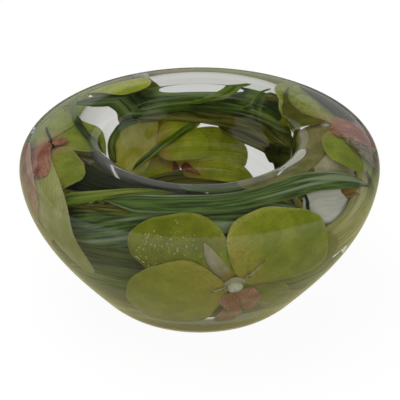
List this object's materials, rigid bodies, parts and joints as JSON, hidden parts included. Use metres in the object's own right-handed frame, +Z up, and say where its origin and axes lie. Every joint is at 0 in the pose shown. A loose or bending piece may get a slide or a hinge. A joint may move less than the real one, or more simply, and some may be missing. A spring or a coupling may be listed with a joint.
{
  "type": "cymbidium flowers cast in a clear resin bowl",
  "caption": "Heavy round bowl of clear cast resin with a central well, and green cymbidium orchid flowers and strap leaves set inside it.",
  "frame": {"origin": "centre of the flat underside, on the surface that the bowl stands on", "axes": "+Z up out of the well; -Y towards the front flower, and +X to its right"},
  "size_m": [0.2, 0.2, 0.095],
  "materials": {
    "resin": "polished clear cast resin",
    "sepal": "pale green sepal, waxy",
    "petal": "apple green petal, waxy",
    "lip": "dusky pink lip",
    "column": "cream column and anther cap",
    "leaf": "dark green strap leaf with fine lengthwise veins"
  },
  "bodies": {
    "root": {"resin_bowl": "resin", "resin_base": "resin", "front_flower_dorsal_sepal": "sepal", "front_flower_left_sepal": "sepal", "front_flower_right_sepal": "sepal", "front_flower_left_petal": "petal", "front_flower_right_petal": "petal", "front_flower_lip": "lip", "front_flower_column": "column", "left_flower_dorsal_sepal": "sepal", "left_flower_left_sepal": "sepal", "left_flower_right_sepal": "sepal", "left_flower_left_petal": "petal", "left_flower_right_petal": "petal", "left_flower_lip": "lip", "left_flower_column": "column", "right_flower_dorsal_sepal": "sepal", "right_flower_left_sepal": "sepal", "right_flower_right_sepal": "sepal", "right_flower_left_petal": "petal", "right_flower_right_petal": "petal", "right_flower_lip": "lip", "right_flower_column": "column", "back_flower_dorsal_sepal": "sepal", "back_flower_left_sepal": "sepal", "back_flower_right_sepal": "sepal", "back_flower_left_petal": "petal", "back_flower_right_petal": "petal", "back_flower_lip": "lip", "back_flower_column": "column", "front_leaf_1": "leaf", "front_leaf_2": "leaf", "front_leaf_3": "leaf", "front_leaf_4": "leaf", "front_leaf_5": "leaf", "front_leaf_6": "leaf", "right_leaf_1": "leaf", "right_leaf_2": "leaf", "right_leaf_3": "leaf", "back_leaf_1": "leaf", "back_leaf_2": "leaf", "back_leaf_3": "leaf", "back_leaf_4": "leaf", "back_leaf_5": "leaf", "well_leaf_1": "leaf", "well_leaf_2": "leaf", "tip_leaf_1": "leaf", "tip_leaf_2": "leaf"}
  },
  "joints": []
}
